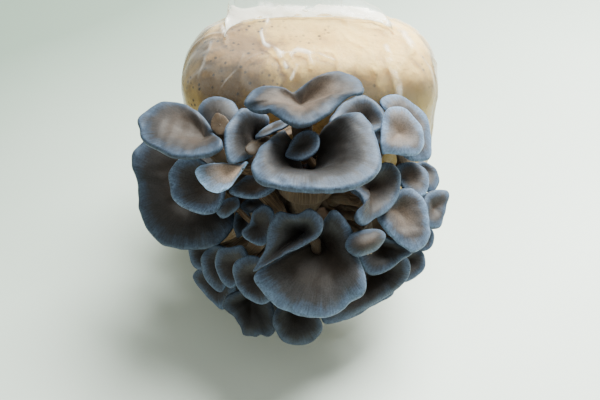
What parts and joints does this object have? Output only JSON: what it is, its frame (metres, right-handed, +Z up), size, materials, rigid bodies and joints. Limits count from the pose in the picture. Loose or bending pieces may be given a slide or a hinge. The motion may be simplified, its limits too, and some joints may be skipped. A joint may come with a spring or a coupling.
{
  "type": "oyster mushroom grow bag",
  "caption": "Cluster of blue-grey oyster mushrooms growing out of the front of a film-wrapped block of white mycelium.",
  "frame": {"origin": "centre of the bag's flat underside, where it rests on the table", "axes": "+Z up, the mushrooms face -Y, and +X is to the right as the picture shows it"},
  "size_m": [0.2434, 0.2648, 0.2254],
  "materials": {
    "clear_film": "clear gloss",
    "mushroom_bottom_fan_flesh": "satin",
    "mushroom_bottom_fold_flesh": "satin",
    "mushroom_bottom_left_skirt_flesh": "satin",
    "mushroom_bottom_tongue_flesh": "satin",
    "mushroom_centre_trumpet_flesh": "satin",
    "mushroom_crown_flesh": "satin",
    "mushroom_gap_blade_flesh": "satin",
    "mushroom_gap_leaf_flesh": "satin",
    "mushroom_gap_right_flesh": "satin",
    "mushroom_gap_upper_flesh": "satin",
    "mushroom_hood_stub_flesh": "satin",
    "mushroom_left_button_flesh": "satin",
    "mushroom_left_inner_flesh": "satin",
    "mushroom_left_leaf_flesh": "satin",
    "mushroom_left_tongue_flesh": "satin",
    "mushroom_left_wing_large_flesh": "satin",
    "mushroom_left_wing_upper_flesh": "satin",
    "mushroom_lower_left_inner_flesh": "satin",
    "mushroom_lower_left_outer_flesh": "satin",
    "mushroom_lower_left_rim_flesh": "satin",
    "mushroom_lower_left_scale_flesh": "satin",
    "mushroom_lower_left_shield_flesh": "satin",
    "mushroom_lower_left_tail_flesh": "satin",
    "mushroom_right_button_flesh": "satin",
    "mushroom_right_ear_flesh": "satin",
    "mushroom_right_edge_flesh": "satin",
    "mushroom_right_funnel_flesh": "satin",
    "mushroom_right_lower_flesh": "satin",
    "mushroom_right_middle_flesh": "satin",
    "mushroom_right_nub_flesh": "satin",
    "mushroom_right_outer_flesh": "satin",
    "mushroom_right_skirt_flesh": "satin",
    "mushroom_right_skirt_back_flesh": "satin",
    "mushroom_right_wing_flesh": "satin",
    "mushroom_right_wing_back_flesh": "satin",
    "mushroom_right_wing_low_flesh": "satin",
    "mushroom_side_left_flesh": "satin",
    "mushroom_side_right_flesh": "satin",
    "mushroom_trumpet_bud_flesh": "satin",
    "mushroom_underside_left_flesh": "satin",
    "mushroom_underside_middle_flesh": "satin",
    "mushroom_underside_right_flesh": "satin",
    "mushroom_upper_left_fold_flesh": "satin",
    "mushroom_upper_left_hood_flesh": "satin",
    "mushroom_upper_middle_flap_flesh": "satin",
    "mushroom_upper_middle_fold_flesh": "satin",
    "mushroom_upper_right_chip_flesh": "satin",
    "mushroom_upper_right_wave_flesh": "satin",
    "clump_flesh": "matte",
    "mycelium": "matte"
  },
  "bodies": {
    "root": {"bag_film": "clear_film", "mushroom_bottom_fan": "mushroom_bottom_fan_flesh", "mushroom_bottom_fold": "mushroom_bottom_fold_flesh", "mushroom_bottom_left_skirt": "mushroom_bottom_left_skirt_flesh", "mushroom_bottom_tongue": "mushroom_bottom_tongue_flesh", "mushroom_centre_trumpet": "mushroom_centre_trumpet_flesh", "mushroom_crown": "mushroom_crown_flesh", "mushroom_gap_blade": "mushroom_gap_blade_flesh", "mushroom_gap_leaf": "mushroom_gap_leaf_flesh", "mushroom_gap_right": "mushroom_gap_right_flesh", "mushroom_gap_upper": "mushroom_gap_upper_flesh", "mushroom_hood_stub": "mushroom_hood_stub_flesh", "mushroom_left_button": "mushroom_left_button_flesh", "mushroom_left_inner": "mushroom_left_inner_flesh", "mushroom_left_leaf": "mushroom_left_leaf_flesh", "mushroom_left_tongue": "mushroom_left_tongue_flesh", "mushroom_left_wing_large": "mushroom_left_wing_large_flesh", "mushroom_left_wing_upper": "mushroom_left_wing_upper_flesh", "mushroom_lower_left_inner": "mushroom_lower_left_inner_flesh", "mushroom_lower_left_outer": "mushroom_lower_left_outer_flesh", "mushroom_lower_left_rim": "mushroom_lower_left_rim_flesh", "mushroom_lower_left_scale": "mushroom_lower_left_scale_flesh", "mushroom_lower_left_shield": "mushroom_lower_left_shield_flesh", "mushroom_lower_left_tail": "mushroom_lower_left_tail_flesh", "mushroom_right_button": "mushroom_right_button_flesh", "mushroom_right_ear": "mushroom_right_ear_flesh", "mushroom_right_edge": "mushroom_right_edge_flesh", "mushroom_right_funnel": "mushroom_right_funnel_flesh", "mushroom_right_lower": "mushroom_right_lower_flesh", "mushroom_right_middle": "mushroom_right_middle_flesh", "mushroom_right_nub": "mushroom_right_nub_flesh", "mushroom_right_outer": "mushroom_right_outer_flesh", "mushroom_right_skirt": "mushroom_right_skirt_flesh", "mushroom_right_skirt_back": "mushroom_right_skirt_back_flesh", "mushroom_right_wing": "mushroom_right_wing_flesh", "mushroom_right_wing_back": "mushroom_right_wing_back_flesh", "mushroom_right_wing_low": "mushroom_right_wing_low_flesh", "mushroom_side_left": "mushroom_side_left_flesh", "mushroom_side_right": "mushroom_side_right_flesh", "mushroom_trumpet_bud": "mushroom_trumpet_bud_flesh", "mushroom_underside_left": "mushroom_underside_left_flesh", "mushroom_underside_middle": "mushroom_underside_middle_flesh", "mushroom_underside_right": "mushroom_underside_right_flesh", "mushroom_upper_left_fold": "mushroom_upper_left_fold_flesh", "mushroom_upper_left_hood": "mushroom_upper_left_hood_flesh", "mushroom_upper_middle_flap": "mushroom_upper_middle_flap_flesh", "mushroom_upper_middle_fold": "mushroom_upper_middle_fold_flesh", "mushroom_upper_right_chip": "mushroom_upper_right_chip_flesh", "mushroom_upper_right_wave": "mushroom_upper_right_wave_flesh", "stem_clump": "clump_flesh", "substrate_block": "mycelium"}
  },
  "joints": []
}
